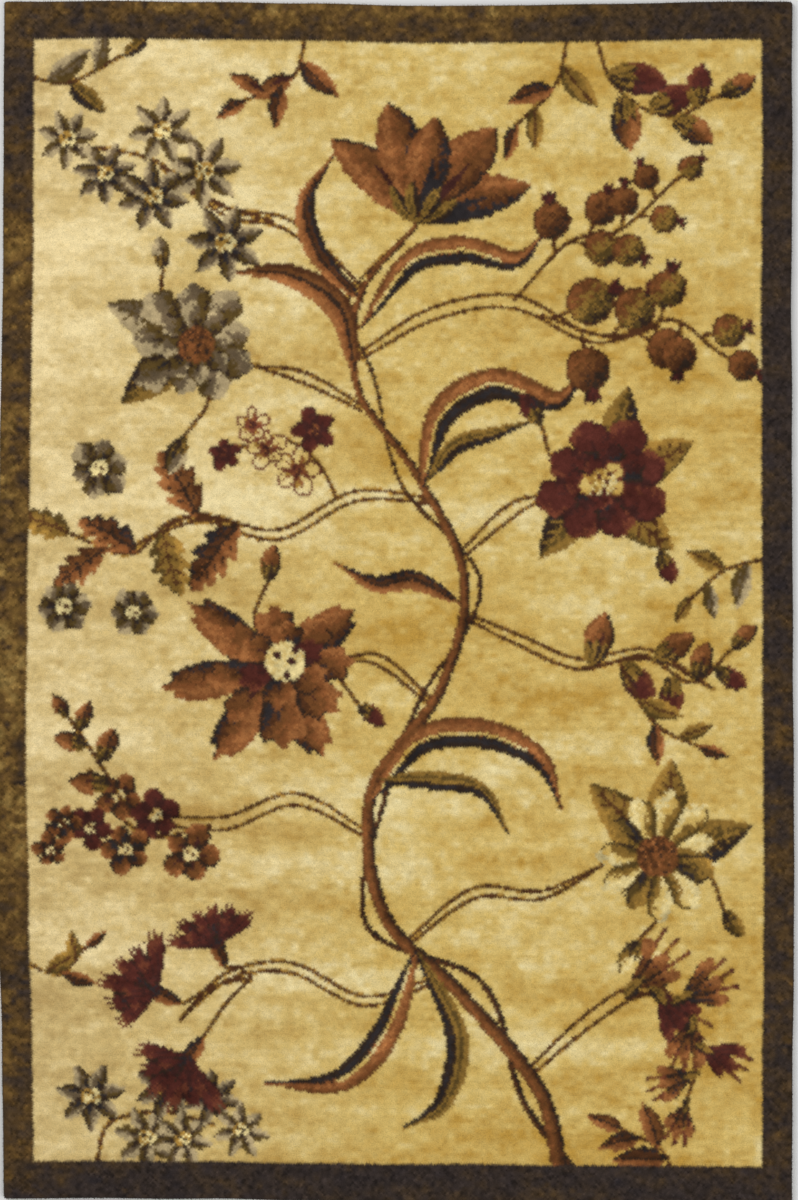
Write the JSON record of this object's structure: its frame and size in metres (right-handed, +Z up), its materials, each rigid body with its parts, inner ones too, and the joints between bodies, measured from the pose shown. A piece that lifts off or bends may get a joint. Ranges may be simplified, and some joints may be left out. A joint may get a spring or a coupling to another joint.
{
  "type": "hand-knotted rug",
  "caption": "Flat hand-knotted wool rug with a short silky pile, a pale gold field of flowering sprays and a plain dark brown border.",
  "frame": {"origin": "middle of the rug's box, on the floor under it", "axes": "+X across the rug, +Y along its length, +Z up out of the pile"},
  "size_m": [1.222, 1.8406, 0.0114],
  "materials": {
    "wool_pile": "short hand-knotted wool pile, pale gold with a soft silky sheen and a dark brown border",
    "cotton_foundation": "undyed cotton warps and wefts with the knots showing at the back, matt",
    "edge_wool": "dark brown wool wound over the edge, matt"
  },
  "bodies": {
    "root": {"rug": "wool_pile"}
  },
  "joints": []
}
